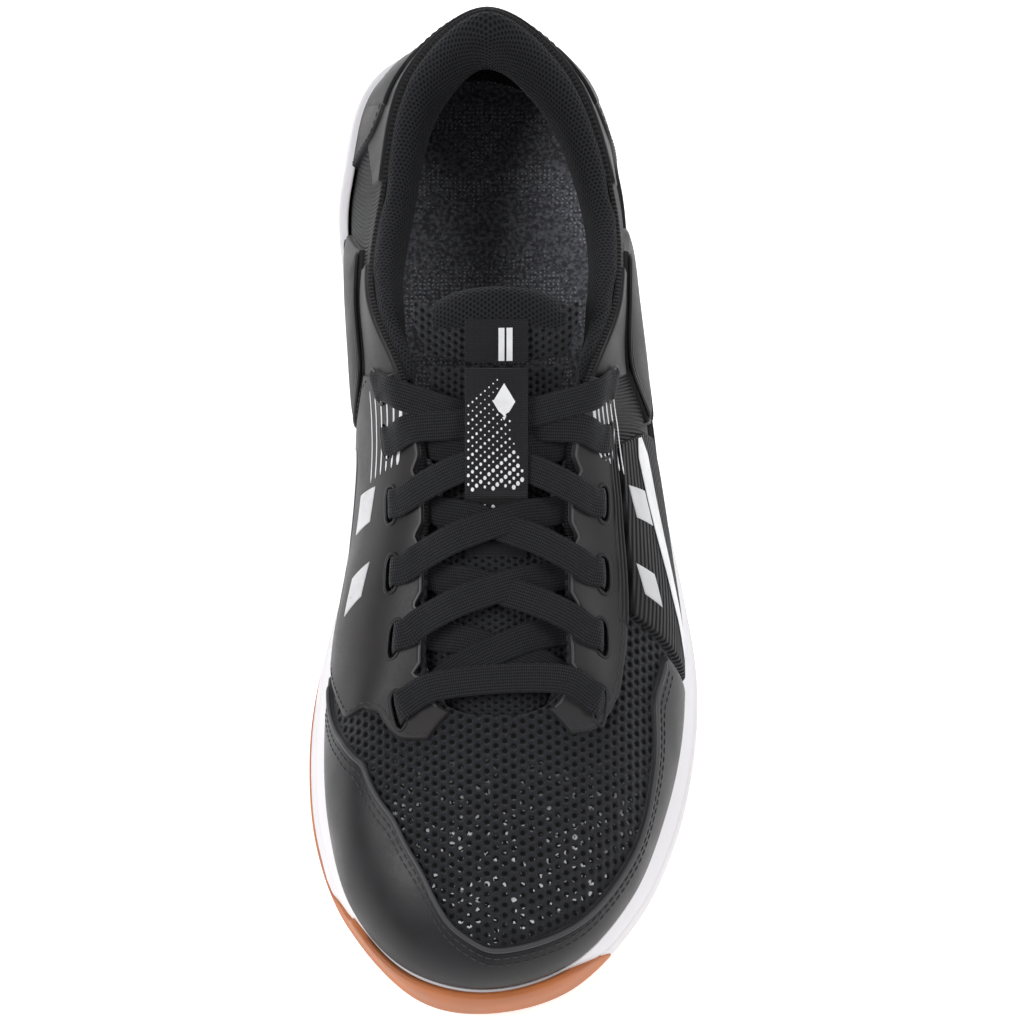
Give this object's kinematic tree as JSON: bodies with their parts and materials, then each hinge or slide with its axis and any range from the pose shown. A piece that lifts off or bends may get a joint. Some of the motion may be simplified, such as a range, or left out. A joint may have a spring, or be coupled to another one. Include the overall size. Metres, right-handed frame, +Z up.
{
  "type": "court shoe",
  "caption": "Low-cut laced court shoe with a mesh vamp, smooth overlays, a padded collar and tongue, a foam midsole and a gum outsole that wraps up over the toe.",
  "frame": {"origin": "centre of the bounding box at ground level", "axes": "toe towards -Y, heel towards +Y, medial side towards -X, lateral side towards +X, +Z up"},
  "size_m": [0.1128, 0.3004, 0.1115],
  "materials": {
    "gum": "matte gum rubber",
    "foam": "satin white foam",
    "shank": "satin moulded plastic",
    "gel": "soft elastomer",
    "board": "non-woven board",
    "insole": "woven top cloth on foam",
    "mesh": "open spacer mesh",
    "knit": "knitted textile",
    "stiffener": "thermoplastic sheet",
    "synthetic": "smooth coated synthetic",
    "white_film": "white film",
    "label": "fine twill",
    "lace": "flat woven tape"
  },
  "bodies": {
    "shoe": {"outsole_forefoot": "gum", "outsole_heel": "gum", "midfoot_shank": "shank", "midsole": "foam", "heel_cushion_pad": "gel", "lasting_board": "board", "insole": "insole", "vamp_mesh": "mesh", "medial_quarter_textile": "knit", "lateral_quarter_textile": "knit", "toe_puff": "stiffener", "heel_counter": "stiffener", "heel_lining": "knit", "collar_padding": "knit", "toe_overlay": "synthetic", "medial_eyestay": "synthetic", "lateral_eyestay": "synthetic", "lateral_quarter_panel": "synthetic", "medial_leaf_panel": "synthetic", "lateral_leaf_panel": "synthetic", "heel_overlay": "synthetic", "medial_side_trim": "white_film", "lateral_side_trim": "white_film", "tongue_lower": "mesh", "lace_keeper": "label", "lace": "lace", "lateral_aglet": "shank", "medial_aglet": "shank"},
    "tongue_flap": {"tongue_top": "knit", "tongue_label": "label"}
  },
  "joints": [
    {"name": "tongue_bend", "type": "hinge", "parent": "shoe", "child": "tongue_flap", "pos_m": [-0.0025, 0.0165, 0.0978], "axis": [1, 0, 0], "range_deg": [-10, 30], "stiffness_Nm_per_rad": 0.12}
  ]
}
